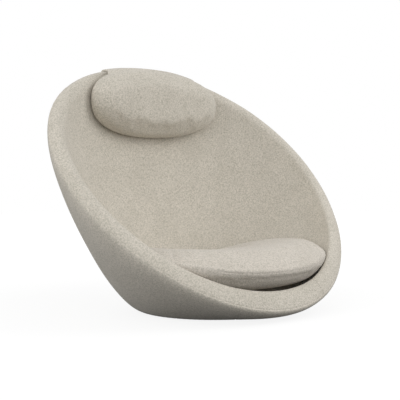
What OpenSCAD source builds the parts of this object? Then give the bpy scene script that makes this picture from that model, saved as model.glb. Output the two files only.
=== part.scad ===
// Upholstered pod chair: a padded bowl with a sloping rim, a loose seat cushion,
// and a head cushion hung over the rim on a flap with weights in its hem.
// The sitter faces -Y, and the underside of the foot lies on z = 0.

/* [Rim] */
// Width of the pod across its rim seam
rim_w = 920; // [860:5:980]
// Length of the rim seam along its slope
rim_l = 908; // [850:4:960]
// Slope of the rim plane in degrees
rim_tilt = 46.4; // [44:0.2:49]
// Height of the middle of the rim
rim_z = 363; // [350:1:385]
// Distance of the middle of the rim behind the middle of the foot
rim_y = 12; // [0:1:24]
// Share by which the upper half of the rim is wider than the middle
egg_share = 0.062; // [0.03:0.002:0.09]

/* [Outer wall] */
// Share of the wall's spread that it takes while still level
toe_share = 0.423; // [0.38:0.01:0.46]
// Change of that share from the sides to the back
toe_tilt_share = 0.08; // [0.04:0.01:0.12]
// Length of the upright top of the wall at the sides
brow_h = 27; // [22:1:32]
// Change of that length from the sides to the back
brow_tilt = 26; // [20:1:30]
// Further length of it at the front and the back
brow_ends = 8; // [4:1:12]
// Share by which the wall swells past its rim
swell_share = 0.056; // [0.04:0.002:0.07]

/* [Padding] */
// Width of the rolled rim from its seam to the lining
roll_w = 44; // [42:1:50]
// Further width of the roll at the middle of the front lip
roll_lip = 11; // [6:1:14]
// Reach of the roll's outer shoulder
roll_out = 24; // [22:1:28]
// Reach of the roll's inner shoulder
roll_in = 16; // [14:1:20]
// Thickness of the padded wall near the foot
wall_t = 44; // [42:1:50]
// Share of the lining's height over which it keeps the slope of the rim
lining_share = 0.38; // [0.34:0.01:0.42]
// Share by which it keeps that slope longer beside the front lip
lining_side_share = 0.42; // [0.3:0.02:0.5]
// Height of the bowl's floor
floor_z = 74; // [70:1:80]
// Radius of the flat floor of the bowl
floor_r = 122; // [114:1:130]
// Distance of the bowl's floor behind the middle of the foot
floor_y = -8; // [-14:1:0]
// Thickness of the cover cloth
cover_t = 2; // [1.5:0.1:2.5]
// Half angle between the two cross seams at the front, in degrees
front_a = 21.2; // [18:0.2:24]

/* [Shell] */
// Thickness of the moulded shell
shell_t = 6; // [5:0.5:7]
// Depth of foam outside the shell near the foot
outer_foam_t = 10; // [8:1:12]
// Distance of the shell's edge inside the rim seam
edge_in = 21; // [19:1:23]
// Depth of the shell's edge below the rim plane
edge_drop = 10; // [8:1:13]
// Diameter of the steel tube along the shell's edge
tube_d = 12; // [10:1:14]

/* [Underside] */
// Diameter of the steel base plate
plate_d = 280; // [270:2:290]
// Thickness of the steel base plate
plate_t = 6; // [5:0.5:8]
// Distance between the mounting holes, both ways
hole_pitch = 150; // [140:2:152]
// Diameter of a mounting hole
hole_d = 9; // [8.5:0.1:10]
// Width of a weld nut across its flats
nut_w = 13; // [12:0.5:14]
// Height of a weld nut
nut_h = 6.5; // [5:0.5:6.5]
// Thread diameter of the mounting and clamp bolts
bolt_d = 8; // [7:0.5:8]
// Number of clamp bolts
clamp_count = 8; // [4:4:8]
// Diameter of the circle of clamp bolts
clamp_pcd = 200; // [180:2:206]
// Distance from that circle to the edge of the opening in the shell's floor
shell_hole_gap = 18; // [16:1:20]
// Diameter of a clamp bolt's sunk head
head_d = 15; // [13:0.5:16]
// Height of a clamp bolt's sunk head
head_h = 4; // [3:0.5:4.5]
// Thickness of the plywood seat board
board_t = 18; // [15:1:20]
// Distance by which the seat board reaches past the base plate
board_lap = 15; // [10:1:18]
// Diameter of a tee nut's barrel
barrel_d = 10.5; // [10:0.5:12]
// Length of a tee nut's barrel
barrel_h = 11; // [9:0.5:13]
// Diameter of a tee nut's flange
flange_d = 22; // [18:1:24]
// Thickness of a tee nut's flange
flange_t = 1.5; // [1:0.1:2]
// Thickness of the felt ring under the foot
felt_t = 2.5; // [2:0.1:3]
// Width of the felt ring and of the tack ring round the base plate
ring_w = 27; // [25:1:29]
// Width of the outer cover's hem under the foot
hem_lap = 12; // [10:1:16]

/* [Seat cushion] */
// Height of the cushion's seam, mean of front and back, over the roll's inner edge
// at the front lip
seat_over_lip = 41; // [36:1:46]
// Rise of the seam from there to the sides
seat_rise = 52; // [44:1:56]
// Rise of the seam from the mean to the front, and its fall to the back
seat_tilt = 10; // [6:1:14]
// Height of the cushion's crown over its seam
seat_crown = 45; // [40:1:50]
// Further height of the crown at the front, and its loss at the back
seat_lean = 30; // [24:1:34]
// Gap between the seam and the lining
seat_gap = 5; // [4:0.5:8]
// Overhang of the cushion's front past the roll's inner edge
seat_nose = 16; // [12:1:18]

/* [Head cushion] */
// Width of the head cushion
head_w = 464; // [440:2:480]
// Height of the head cushion
head_l = 200; // [186:2:208]
// Distance of its middle below the top of the rim seam
head_drop = 105; // [102:1:110]
// Height of its front crown over its seam
head_front = 73; // [68:1:82]
// Height of its back crown over its seam
head_back = 12; // [10:1:16]
// Gap between its back and the lining
head_gap = 5.5; // [3.5:0.5:8]
// Radius to which it bends round the back of the bowl
head_r = 760; // [700:10:860]

/* [Flap] */
// Thickness of the lightly padded flap
flap_t = 8; // [6:0.5:10]
// Gap between the flap and the cover below it
flap_gap = 0.6; // [0.4:0.1:1]
// Gap between the flap's front end and the head cushion's top seam
flap_rest = 2.5; // [2:0.1:3.5]
// Distance by which its plumb part stands off the wall
flap_stand = 2; // [1.5:0.1:3]
// Length of the flap that hangs plumb behind the rim
flap_drop = 118; // [100:2:130]
// Height of the hem pocket that holds the weights
hem_h = 84; // [76:2:92]
// Thickness of the hem pocket at its middle
hem_t = 24; // [22:1:28]
// Number of steel weights in the hem pocket
weight_count = 4; // [2:2:4]
// Width of a steel weight
weight_w = 46; // [38:1:48]
// Height of a steel weight
weight_h = 44; // [38:1:46]
// Thickness of a steel weight
weight_t = 8; // [6:0.5:8.5]
// Height of the weights above the bottom of the pocket
weight_rest = 5; // [5:0.5:8]

/* [Fits] */
// Clearance between pieces that lie against each other
clear = 0.3; // [0.2:0.05:0.4]
// Radial clearance round a bolt
bolt_clear = 0.5; // [0.3:0.1:0.6]

/* [Hidden] */

// Overrun of cuts past the faces that they open
over = 1;
// Steps round the front panel and round the rest of the pod
front_steps = 5;
main_steps = 36;
// Steps up the outer wall, over the roll and down the lining
wall_steps = 9;
roll_steps = 7;
lining_steps = 9;
// Steps round a cushion and from its seam to its crown
seat_steps = 30;
seat_rings = 6;
head_steps = 28;
head_rings = 5;
// Sides of the tube, of the hem pocket's section and steps across the flap
tube_steps = 8;
hem_steps = 12;
flap_steps = 4;
// Step on the roll at which the flap touches down
land_step = 2;
// Steps of a derivative, in degrees and as a share of a section
turn_step = 0.5;
run_share = 0.004;
// Halvings in the search for a height on the lining
halvings = 16;
// How quickly the front lip narrows to the roll beside it
lip_sharpness = 6;
// Share of the back wall at which the slope of the lining is taken
brow_share = 0.72;
// Shares of the seat cushion's profile: how square it is and how it closes at its
// seam, on top, below at the sides and the back, and below at the front
top_square_share = 4.5;
top_close_share = 0.5;
base_square_share = 2;
base_close_share = 0.9;
front_square_share = 8;
front_close_share = 0.5;
// The same of the head cushion's profile, and how square its outline is
head_square_share = 4;
head_close_share = 0.5;
outline_share = 2.35;
// How quickly the hem pocket leans to the flap at its top
hem_square = 4;
// Heights of the stack of pieces under the bowl
shell_z = plate_t + clear;
board_z = shell_z + shell_t + clear;
nut_seat_z = board_z + board_t;
recess_z = nut_seat_z + clear + flange_t + clear;
// Diameters under the foot: where the felt ring meets the cover's hem, the foot
// itself, the seat board and the opening in the shell
hem_d = plate_d + 2 * ring_w;
foot_d = hem_d + 2 * hem_lap;
board_d = plate_d + 2 * board_lap;
shell_hole_d = clamp_pcd + 2 * shell_hole_gap;
// Depth of the padding below the visible surface
inner_d = cover_t + clear;
tube_r = tube_d / 2;
front_seam_gap = asin(clear / rim_w);
main_step = (360 - 2 * front_a) / main_steps;
flap_half = flap_steps / 2 * main_step;

X = [1, 0, 0];
Z = [0, 0, 1];
SLOPE = [0, cos(rim_tilt), sin(rim_tilt)];
LIFT = [0, -sin(rim_tilt), cos(rim_tilt)];
RIM_MID = [0, rim_y, rim_z];
FLOOR_MID = [0, floor_y, floor_z];

CLOTH = [0.76, 0.73, 0.68];
CLOTH_SIDE = [0.70, 0.67, 0.62];
CLOTH_SEAT = [0.80, 0.77, 0.73];
FOAM = [0.93, 0.89, 0.72];
STEEL = [0.55, 0.56, 0.58];

function unit(v) = v / norm(v);
function flat(v) = [v[0], v[1], 0];
function way(a) = [cos(a), sin(a), 0];
function clamp(t) = max(0, min(1, t));
function bezier(p, t) =
    let (s = 1 - t)
    s * s * s * p[0] + 3 * s * s * t * p[1] + 3 * s * t * t * p[2] + t * t * t * p[3];
function runs(from, to, steps) = [for (i = [0 : steps]) from + (to - from) * i / steps];
function ring_angles(steps) = [for (i = [0 : steps - 1]) 360 * i / steps];

// The rim seam, the foot and the four control points of each section.
// A section runs up the outer wall (0 to 1), over the roll (1 to 2)
// and down the lining to the floor of the bowl (2 to 3).
function rim_pt(a) = RIM_MID
    + rim_w / 2 * cos(a) * (1 + egg_share * sin(a)) * X
    + rim_l / 2 * sin(a) * SLOPE;
function foot_pt(a) = foot_d / 2 * way(a);
function brow(a) = brow_h + brow_tilt * sin(a) + brow_ends * sin(a) * sin(a);
function wall_poles(a) =
    let (e = rim_pt(a), f = foot_pt(a))
    [
        f,
        f + (toe_share + toe_tilt_share * sin(a)) * flat(e - f),
        e - brow(a) * LIFT + swell_share * (e - RIM_MID),
        e
    ];
function roll_poles(a) =
    let (w = wall_poles(a), e = w[3], i = lining_top(a))
    [e, e + roll_out * unit(e - w[2]), i - roll_in * lining_slope(a), i];
function roll_width(a) = roll_w + roll_lip * pow(max(0, -sin(a)), lip_sharpness);
function lining_top(a) = rim_pt(a) + roll_width(a) * unit(RIM_MID - rim_pt(a));
function lining_slope(a) =
    let (w = wall_poles(a))
    unit(bezier(w, brow_share) - w[3]);
function lining_poles(a) =
    let (
        i = lining_top(a),
        f = FLOOR_MID + floor_r * way(a),
        w = wall_poles(a)[1],
        keeps = lining_share + lining_side_share * max(0, -sin(a)) * cos(a) * cos(a)
    )
    [
        i,
        i + keeps * norm(i - f) * lining_slope(a),
        w - wall_t * unit(w) + floor_z * Z,
        f
    ];
function skin(a, u) =
    u <= 1 ? bezier(wall_poles(a), max(0, u)) :
    u <= 2 ? bezier(roll_poles(a), u - 1) :
    bezier(lining_poles(a), min(3, u) - 2);
function skin_out(a, u) = unit(cross(
    skin(a + turn_step, u) - skin(a - turn_step, u),
    skin(a, min(3, u + run_share)) - skin(a, max(0, u - run_share))
));
// A point at a depth below the visible surface
function under(a, u, depth) = skin(a, u) - depth * skin_out(a, u);
// The way up the outer wall where it meets the rim seam
function rise(a) =
    let (w = wall_poles(a))
    unit(w[3] - w[2]);

// The moulded shell follows the outer wall further in and ends under the roll.
function shell_poles(a) =
    let (w = wall_poles(a), inward = unit(RIM_MID - w[3]), lift = shell_z * Z)
    [
        w[0] - outer_foam_t * way(a) + lift,
        w[1] - outer_foam_t * unit(w[1]) + lift,
        w[2] + edge_in * inward - edge_drop * LIFT,
        w[3] + edge_in * inward - edge_drop * LIFT
    ];
function shell_skin(a, u) = bezier(shell_poles(a), u);
function shell_out(a, u) = unit(cross(
    shell_skin(a + turn_step, u) - shell_skin(a - turn_step, u),
    shell_skin(a, min(1, u + run_share)) - shell_skin(a, max(0, u - run_share))
));
function shell_at(a, u, depth) = shell_skin(a, u) - depth * shell_out(a, u);
function shell_rise(a) =
    let (p = shell_poles(a))
    unit(p[3] - p[2]);
function tube_mid(a) = shell_at(a, 1, shell_t / 2) + (tube_r + clear) * shell_rise(a);
function tube_pt(a, turn, r) =
    tube_mid(a) + r * (-cos(turn) * shell_out(a, 1) + sin(turn) * shell_rise(a));
tube_turns = [for (i = [0 : tube_steps - 1]) -90 + 360 * (i + 1 / 2) / tube_steps];

FRONT = runs(-90 - front_a, -90 + front_a, front_steps);
MAIN = runs(-90 + front_a, 270 - front_a, main_steps);
AROUND = concat(
    [for (i = [0 : front_steps - 1]) FRONT[i]],
    [for (i = [0 : main_steps - 1]) MAIN[i]]
);
FRONT_CUT = runs(-90 - front_a + front_seam_gap, -90 + front_a - front_seam_gap, front_steps);
MAIN_CUT = concat(
    [MAIN[0] + front_seam_gap],
    [for (i = [1 : main_steps - 1]) MAIN[i]],
    [MAIN[main_steps] - front_seam_gap]
);
WALL_RUNS = runs(0, 1, wall_steps);
ROLL_RUNS = runs(1, 2, roll_steps);
LINING_RUNS = runs(2, 3, lining_steps);
OVER_RUNS = concat([for (i = [0 : roll_steps - 1]) ROLL_RUNS[i]], LINING_RUNS);

function reverse(list) = [for (i = [len(list) - 1 : -1 : 0]) list[i]];
function flatten(lists) = [for (l = lists) each l];

// The two triangles of a four-sided patch. Surfaces that lie against each other
// are split along the same diagonal, so that the clearance between them holds.
function patch(a, b, c, d, back) = back ? [[a, b, c], [b, d, c]] : [[a, b, d], [a, d, c]];

// A solid through closed loops of points. The loops lie one behind the other:
// shut joins the last loop to the first, and otherwise the two ends are capped.
// A loop goes out along one side and, from point "turn" on, comes back along the other.
module loop_solid(loops, shut = true, turn = undef) {
    n = len(loops);
    m = len(loops[0]);
    last = shut ? n - 1 : n - 2;
    half = is_undef(turn) ? m / 2 : turn;
    sides = [
        for (i = [0 : last]) for (j = [0 : m - 1])
            let (k = (i + 1) % n, next = (j + 1) % m)
            each patch(i * m + j, i * m + next, k * m + j, k * m + next, j >= half)
    ];
    caps = shut ? [] : [
        for (k = [0 : m / 2 - 2])
            each [
                [k, m - 1 - k, k + 1],
                [k + 1, m - 1 - k, m - 2 - k],
                [(n - 1) * m + k, (n - 1) * m + k + 1, (n - 1) * m + m - 1 - k],
                [(n - 1) * m + k + 1, (n - 1) * m + m - 2 - k, (n - 1) * m + m - 1 - k]
            ]
    ];
    polyhedron(points = flatten(loops), faces = concat(sides, caps));
}

// A solid through open paths that start round one point and end round another.
// A path comes back until point "turn"; mirrored says that the paths run clockwise.
module bowl_solid(paths, start, end, turn = 0, mirrored = false) {
    n = len(paths);
    m = len(paths[0]);
    first = n * m;
    sides = [
        for (i = [0 : n - 1]) for (j = [0 : m - 2])
            let (k = (i + 1) % n)
            each patch(i * m + j, i * m + j + 1, k * m + j, k * m + j + 1, (j < turn) != mirrored)
    ];
    ends = [
        for (i = [0 : n - 1])
            let (k = (i + 1) % n)
            each [[i * m, k * m, first], [k * m + m - 1, i * m + m - 1, first + 1]]
    ];
    polyhedron(points = concat(flatten(paths), [start, end]), faces = concat(sides, ends));
}

// A loop round a sheet of cloth between two lists of points
function sheet_loop(outside, inside) = concat(outside, reverse(inside));

// Outer cover: its hem lies flat under the foot, and it ends at the rim seam.
function cover_side(a, depth) = concat(
    [[hem_d / 2 * cos(a), hem_d / 2 * sin(a), depth]],
    [for (i = [0 : wall_steps - 1]) under(a, WALL_RUNS[i], depth)],
    [under(a, 1, depth) - clear * rise(a)]
);
module outer_panel(angles) {
    loop_solid([for (a = angles) sheet_loop(cover_side(a, 0), cover_side(a, cover_t))], false);
}
module outer_cover() {
    color(CLOTH_SIDE) outer_panel(MAIN_CUT);
}
module outer_front_panel() {
    color(CLOTH_SIDE) outer_panel(FRONT_CUT);
}

// Lining: it runs from the rim seam over the roll down to the floor panel.
function lining_side(a, depth) = [for (u = OVER_RUNS) under(a, u, depth)];
module inner_panel(angles) {
    loop_solid([for (a = angles) sheet_loop(lining_side(a, 0), lining_side(a, cover_t))], false);
}
module lining() {
    color(CLOTH) inner_panel(MAIN_CUT);
}
module lip_panel() {
    color(CLOTH) inner_panel(FRONT_CUT);
}
module floor_panel() {
    color(CLOTH)
        translate([0, floor_y, floor_z - cover_t])
            cylinder(h = cover_t, r = floor_r * cos(main_step / 2) - clear, $fn = 96);
}

// Outer foam between the outer cover and the shell: it stops one step below the rim.
FOAM_RUNS = [for (i = [0 : wall_steps - 1]) WALL_RUNS[i]];
foam_top = FOAM_RUNS[wall_steps - 1];
function hem_pt(a, z) = (hem_d / 2) * way(a) + z * Z;
module outer_foam() {
    color(FOAM)
        loop_solid([
            for (a = AROUND) sheet_loop(
                concat([hem_pt(a, inner_d)], [for (u = FOAM_RUNS) under(a, u, inner_d)]),
                concat([hem_pt(a, shell_z - clear)], [for (u = FOAM_RUNS) shell_at(a, u, -clear)])
            )
        ]);
}

// Inner foam: it lies on the shell and the seat board, wraps the shell's edge
// and its tube, and fills the roll and the bowl under the lining.
recess_r = (board_d / 2 + clear) / cos(main_step / 2);
groove_r = (tube_r + clear) / cos(180 / tube_steps);
function inner_foam_path(a) =
    let (up = clear * rise(a))
    concat(
        [recess_r * way(a) + recess_z * Z, recess_r * way(a) + board_z * Z],
        [for (i = [0 : wall_steps]) shell_at(a, WALL_RUNS[i], shell_t + clear)],
        [for (t = tube_turns) tube_pt(a, t, groove_r)],
        [shell_at(a, 1, -clear), shell_at(a, foam_top, -clear) + up, under(a, foam_top, inner_d) + up],
        [for (u = OVER_RUNS) under(a, u, inner_d)]
    );
module inner_foam() {
    color(FOAM)
        bowl_solid([for (a = AROUND) inner_foam_path(a)], recess_z * Z, FLOOR_MID - inner_d * Z);
}

module shell() {
    color([0.86, 0.85, 0.80])
        loop_solid([
            for (a = AROUND) sheet_loop(
                concat([shell_hole_d / 2 * way(a) + shell_z * Z],
                    [for (u = WALL_RUNS) shell_at(a, u, 0)]),
                concat([shell_hole_d / 2 * way(a) + (shell_z + shell_t) * Z],
                    [for (u = WALL_RUNS) shell_at(a, u, shell_t)])
            )
        ]);
}

module rim_tube() {
    color(STEEL)
        loop_solid([for (a = AROUND) [for (t = reverse(tube_turns)) tube_pt(a, t, tube_r)]], turn = 0);
}

// Places of the four mounting holes and of the clamp bolts
module at_mounts() {
    for (x = [-1, 1]) for (y = [-1, 1])
        translate([x * hole_pitch / 2, y * hole_pitch / 2, 0]) children();
}
module at_clamps() {
    for (i = [0 : clamp_count - 1])
        rotate(360 / clamp_count * (i + 1 / 2)) translate([clamp_pcd / 2, 0, 0]) children();
}
module bolt_hole(r, from, to) {
    translate([0, 0, from - over]) cylinder(h = to - from + 2 * over, r = r, $fn = 48);
}
// A sunk head that widens towards the underside
module sunk_head(gap) {
    cylinder(h = head_h, r1 = head_d / 2 + gap, r2 = bolt_d / 2 + gap, $fn = 48);
}

module base_plate() {
    color(STEEL)
        difference() {
            cylinder(h = plate_t, r = plate_d / 2, $fn = 120);
            at_mounts() bolt_hole(hole_d / 2, 0, plate_t);
            at_clamps() {
                bolt_hole(bolt_d / 2 + bolt_clear, 0, plate_t);
                sunk_head(bolt_clear);
            }
        }
}

module weld_nuts() {
    color("silver")
        at_mounts()
            translate([0, 0, plate_t])
                difference() {
                    cylinder(h = nut_h, r = nut_w / 2 / cos(30), $fn = 6);
                    bolt_hole(bolt_d / 2, 0, nut_h);
                }
}

module clamp_bolts() {
    color("dimgray")
        at_clamps() {
            sunk_head(0);
            cylinder(h = nut_seat_z, r = bolt_d / 2, $fn = 48);
        }
}

module tee_nuts() {
    color("silver")
        at_clamps()
            translate([0, 0, nut_seat_z - barrel_h])
                difference() {
                    union() {
                        cylinder(h = barrel_h + clear, r = barrel_d / 2, $fn = 48);
                        translate([0, 0, barrel_h + clear])
                            cylinder(h = flange_t, r = flange_d / 2, $fn = 48);
                    }
                    bolt_hole(bolt_d / 2 + clear, 0, barrel_h + clear + flange_t);
                }
}

module seat_board() {
    color([0.80, 0.66, 0.46])
        translate([0, 0, board_z])
            difference() {
                cylinder(h = board_t, r = board_d / 2, $fn = 120);
                at_mounts() bolt_hole(bolt_d / 2 + 2 * bolt_clear, 0, board_t);
                at_clamps() bolt_hole(barrel_d / 2 + clear, 0, board_t);
            }
}

module flat_ring(from_d, to_d, z, h) {
    translate([0, 0, z])
        difference() {
            cylinder(h = h, r = to_d / 2 * cos(main_step / 2) - clear, $fn = 120);
            bolt_hole(from_d / 2 + clear, 0, h);
        }
}
module tack_ring() {
    color([0.52, 0.40, 0.28]) flat_ring(plate_d, hem_d, felt_t + clear, plate_t - felt_t - 2 * clear);
}
module felt_ring() {
    color([0.16, 0.16, 0.16]) flat_ring(plate_d, hem_d, 0, felt_t);
}

// Seat cushion: its seam runs round the bowl just clear of the lining, and at the
// front it stands out over the roll. It is highest at the sides and the front.
seat_seam_z = lining_top(-90)[2] + seat_over_lip;
function seam_height(a) = seat_seam_z + seat_rise * cos(a) * cos(a) - seat_tilt * sin(a);
function lining_at(a, z, low = 2, high = 3, left = halvings) =
    let (mid = (low + high) / 2)
    left == 0 ? mid :
    skin(a, mid)[2] > z ? lining_at(a, z, mid, high, left - 1) : lining_at(a, z, low, mid, left - 1);
front_rise = seam_height(-90) - lining_top(-90)[2];
function nose(a) = clamp((seam_height(a) - lining_top(a)[2]) / front_rise);
function seat_edge(a) =
    let (
        t = nose(a),
        p = skin(a, lining_at(a, seam_height(a))),
        out = unit(flat(p - FLOOR_MID))
    )
    flat(p) + (t * (seat_nose + seat_gap) - seat_gap) * out;
function seat_top_z(a, share) = seat_seam_z + (seam_height(a) - seat_seam_z) * share * share
    + (seat_crown - seat_lean * share * sin(a)) * closing(share, top_square_share, top_close_share);
function seat_base_z(a, share) =
    let (
        front = pow(max(0, -sin(a)), 2),
        square = base_square_share + (front_square_share - base_square_share) * front,
        close = base_close_share + (front_close_share - base_close_share) * front
    )
    seam_height(a) - (seam_height(a) - floor_z - clear) * closing(share, square, close);
// How far a cushion stands open at a share of the way from its middle to its seam
function closing(share, square, close) = pow(max(0, 1 - pow(share, square)), close);
// side is 1 on top of the seam and -1 below it; turn runs from 90 at the seam to 0
function seat_skin(a, side, turn) =
    let (
        share = sin(turn),
        mid = [0, floor_y, 0],
        p = mid + share * (seat_edge(a) - mid)
    )
    [p[0], p[1], side > 0 ? seat_top_z(a, share) : seat_base_z(a, share)];
seat_turn_step = 1;
function seat_out(a, side, turn) = turn > 90 - seat_turn_step ? unit(flat(cross(
    seat_skin(a + turn_step, 1, 90) - seat_skin(a - turn_step, 1, 90), Z))) :
    side * unit(cross(
        seat_skin(a, side, turn + seat_turn_step) - seat_skin(a, side, turn - seat_turn_step),
        seat_skin(a + turn_step, side, turn) - seat_skin(a - turn_step, side, turn)
    ));
function seat_at(a, side, turn, depth) = seat_skin(a, side, turn) - depth * seat_out(a, side, turn);
SEAT_TURNS = [for (i = [0 : seat_rings - 1]) 90 - 90 * i / seat_rings];
SEAT_AROUND = ring_angles(seat_steps);
function seat_mid(side, depth) =
    [0, floor_y, side > 0 ? seat_seam_z + seat_crown - depth : floor_z + clear + depth];
// The seam edge of a panel stays half a clearance off the other panel.
function seat_path(a, side, depth) = concat(
    [seat_at(a, side, 90, depth) + side * clear / 2 * Z],
    [for (i = [1 : seat_rings - 1]) seat_at(a, side, SEAT_TURNS[i], depth)]
);
module seat_panel(side) {
    paths = [for (a = SEAT_AROUND) concat(reverse(seat_path(a, side, 0)), seat_path(a, side, cover_t))];
    ordered = side > 0 ? reverse(paths) : paths;
    bowl_solid(ordered, seat_mid(side, 0), seat_mid(side, cover_t), seat_rings, side > 0);
}
module seat_cushion_top() {
    color(CLOTH_SEAT) seat_panel(1);
}
module seat_cushion_base() {
    color(CLOTH_SEAT) seat_panel(-1);
}
module seat_cushion_foam() {
    color(FOAM)
        bowl_solid(
            [
                for (a = SEAT_AROUND) concat(
                    reverse(seat_path(a, -1, inner_d)),
                    [for (i = [1 : seat_rings - 1]) seat_at(a, 1, SEAT_TURNS[i], inner_d)]
                )
            ],
            seat_mid(-1, inner_d), seat_mid(1, inner_d), seat_rings - 1
        );
}

// Head cushion: an oval pad that bends round the back of the bowl.
head_z = rim_pt(90)[2] - head_drop;
head_y = skin(90, lining_at(90, head_z))[1] - head_gap;
function head_edge(a) = [
    head_w / 2 * sign(cos(a)) * pow(abs(cos(a)), 2 / outline_share),
    head_l / 2 * sign(sin(a)) * pow(abs(sin(a)), 2 / outline_share)
];
head_seam_y = head_y - head_back;
function head_skin(a, side, turn) =
    let (
        share = sin(turn),
        e = share * head_edge(a),
        close = closing(share, head_square_share, head_close_share),
        full = side > 0 ? -head_front : head_back
    )
    [e[0], head_seam_y - e[0] * e[0] / (2 * head_r) + full * close, head_z + e[1]];
head_turn_step = 4;
// The way out of the cushion, from the middle of its thickness
function head_out(a, side, turn) = turn > 90 - head_turn_step ?
    unit([head_edge(a)[0] / head_w, 0, head_edge(a)[1] / head_l]) :
    side * unit(cross(
        head_skin(a, side, turn + head_turn_step) - head_skin(a, side, turn - head_turn_step),
        head_skin(a + head_turn_step, side, turn) - head_skin(a - head_turn_step, side, turn)
    ));
function head_at(a, side, turn, depth) = head_skin(a, side, turn) - depth * head_out(a, side, turn);
HEAD_TURNS = [for (i = [0 : head_rings - 1]) 90 - 90 * i / head_rings];
HEAD_AROUND = ring_angles(head_steps);
function head_mid(side, depth) =
    [0, head_seam_y + (side > 0 ? depth - head_front : head_back - depth), head_z];
function head_path(a, side, depth) = concat(
    [head_at(a, side, 90, depth) - side * clear / 2 * [0, 1, 0]],
    [for (i = [1 : head_rings - 1]) head_at(a, side, HEAD_TURNS[i], depth)]
);
module head_panel(side) {
    paths = [for (a = HEAD_AROUND) concat(reverse(head_path(a, side, 0)), head_path(a, side, cover_t))];
    ordered = side > 0 ? reverse(paths) : paths;
    bowl_solid(ordered, head_mid(side, 0), head_mid(side, cover_t), head_rings, side > 0);
}
module head_cushion_front() {
    color(CLOTH) head_panel(1);
}
module head_cushion_back() {
    color(CLOTH) head_panel(-1);
}
module head_cushion_filling() {
    color("white")
        bowl_solid(
            [
                for (a = HEAD_AROUND) concat(
                    reverse(head_path(a, -1, inner_d)),
                    [for (i = [1 : head_rings - 1]) head_at(a, 1, HEAD_TURNS[i], inner_d)]
                )
            ],
            head_mid(-1, inner_d), head_mid(1, inner_d), head_rings - 1
        );
}

// Flap: it leaves the head cushion's top seam, lands on the roll, goes over it
// and hangs plumb behind the rim.
// It touches down past the roll's crest and leaves the wall where the outer foam ends.
FLAP_AROUND = runs(90 - flap_half, 90 + flap_half, flap_steps);
FLAP_RUNS = [for (i = [land_step : -1 : 0]) ROLL_RUNS[i]];
function flap_land(a) = under(a, ROLL_RUNS[land_step], -flap_gap);
// The point of the head cushion's top seam at the same place across the pod
function flap_start(a) =
    let (
        x = flap_land(a)[0],
        z = head_l / 2 * pow(1 - pow(abs(2 * x / head_w), outline_share), 1 / outline_share)
    )
    [x, head_seam_y - x * x / (2 * head_r), head_z + z];
function flap_leave(a, off) = under(a, foam_top, -off) + flap_stand * way(a);
function flap_end(a, off) = flat(flap_leave(a, off)) + (flap_leave(a, 0)[2] - flap_drop) * Z;
function flap_side(a, off) =
    let (start = flap_start(a), way_on = unit(flap_land(a) - start), across = unit(cross(X, way_on)))
    concat(
        [start + (off - flap_gap + flap_rest) * Z + clear * way_on],
        [for (u = FLAP_RUNS) under(a, u, -off)],
        [flap_leave(a, off), flap_end(a, off)]
    );
module head_flap() {
    color(CLOTH)
        loop_solid(
            [for (a = FLAP_AROUND) sheet_loop(flap_side(a, flap_gap), flap_side(a, flap_gap + flap_t))],
            false
        );
}

// Hem pocket: a flat sleeve of cloth round the weights, sewn to the flap's lower end
function hem_mid(a) = flap_end(a, flap_gap) + hem_t / 2 * way(a) - (clear + hem_h / 2) * Z;
// Distance by which the pocket leans to the flap at a turn of its section
function hem_lean(t) = (hem_t - flap_t) / 2 * pow(max(0, sin(t)), hem_square);
function pocket_pt(a, t, in) = hem_mid(a)
    + ((hem_t / 2 - in) * cos(t) - hem_lean(t)) * way(a)
    + (hem_h / 2 - in) * sin(t) * Z;
module hem_pocket() {
    color(CLOTH)
        loop_solid([
            for (i = [0 : hem_steps - 1])
                let (t = -360 * i / hem_steps)
                sheet_loop(
                    [for (a = FLAP_AROUND) pocket_pt(a, t, 0)],
                    [for (a = FLAP_AROUND) pocket_pt(a, t, cover_t)]
                )
        ]);
}

// A weight stands in the pocket on the middle of a straight stretch of it.
module hem_weights() {
    color("dimgray")
        for (i = [0 : weight_count - 1])
            let (
                step = (i / (weight_count - 1) - 1 / 2) * (flap_steps - 1),
                from = hem_mid(90 + (step + 1 / 2) * main_step),
                to = hem_mid(90 + (step - 1 / 2) * main_step),
                along = unit(to - from)
            )
            translate((from + to) / 2 - (hem_h / 2 - cover_t - weight_rest - weight_h / 2) * Z)
                rotate([0, -asin(along[2]), atan2(along[1], along[0])])
                    cube([weight_w, weight_t, weight_h], center = true);
}

outer_cover();
outer_front_panel();
lining();
lip_panel();
floor_panel();
outer_foam();
inner_foam();
shell();
rim_tube();
base_plate();
weld_nuts();
clamp_bolts();
tee_nuts();
seat_board();
tack_ring();
felt_ring();
seat_cushion_foam();
seat_cushion_top();
seat_cushion_base();
head_cushion_filling();
head_cushion_front();
head_cushion_back();
head_flap();
hem_pocket();
hem_weights();
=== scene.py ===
import math

import bmesh
import bpy
import numpy as np
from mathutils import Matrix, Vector
from mathutils.bvhtree import BVHTree
from mathutils.kdtree import KDTree

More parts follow.
